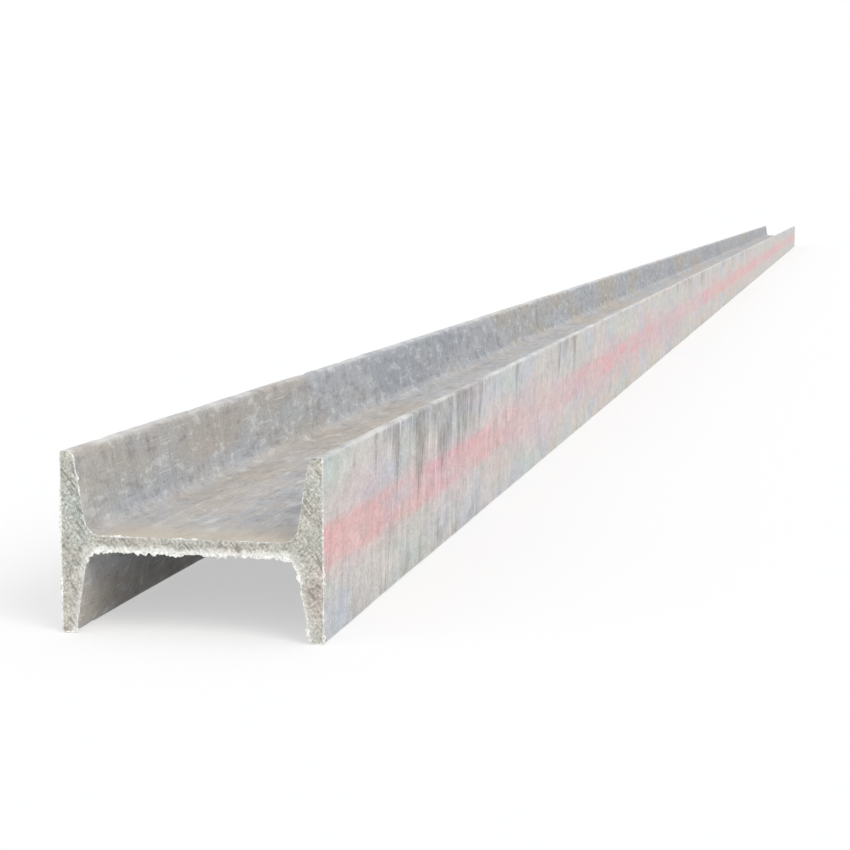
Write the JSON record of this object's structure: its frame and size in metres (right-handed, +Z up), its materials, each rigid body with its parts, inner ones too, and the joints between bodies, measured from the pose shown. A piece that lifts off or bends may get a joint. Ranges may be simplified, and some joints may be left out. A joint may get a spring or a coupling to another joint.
{
  "type": "steel h-beam",
  "caption": "Straight hot-rolled steel beam lying H-wise: upright tapering flanges joined by a level web, filleted roots and rounded toes, square saw-cut ends.",
  "frame": {"origin": "on the floor under the middle of the beam, as it lies on the toes of both flanges with its web level", "axes": "+Y along the beam, +X across its depth from flange to flange, +Z up along the flanges"},
  "size_m": [0.1, 6, 0.068],
  "materials": {
    "rolled_steel": "hot-rolled, dull grey mill scale with a faded red marking stripe along each outer flange face, bare saw-cut ends"
  },
  "bodies": {
    "root": {"beam": "rolled_steel"}
  },
  "joints": []
}
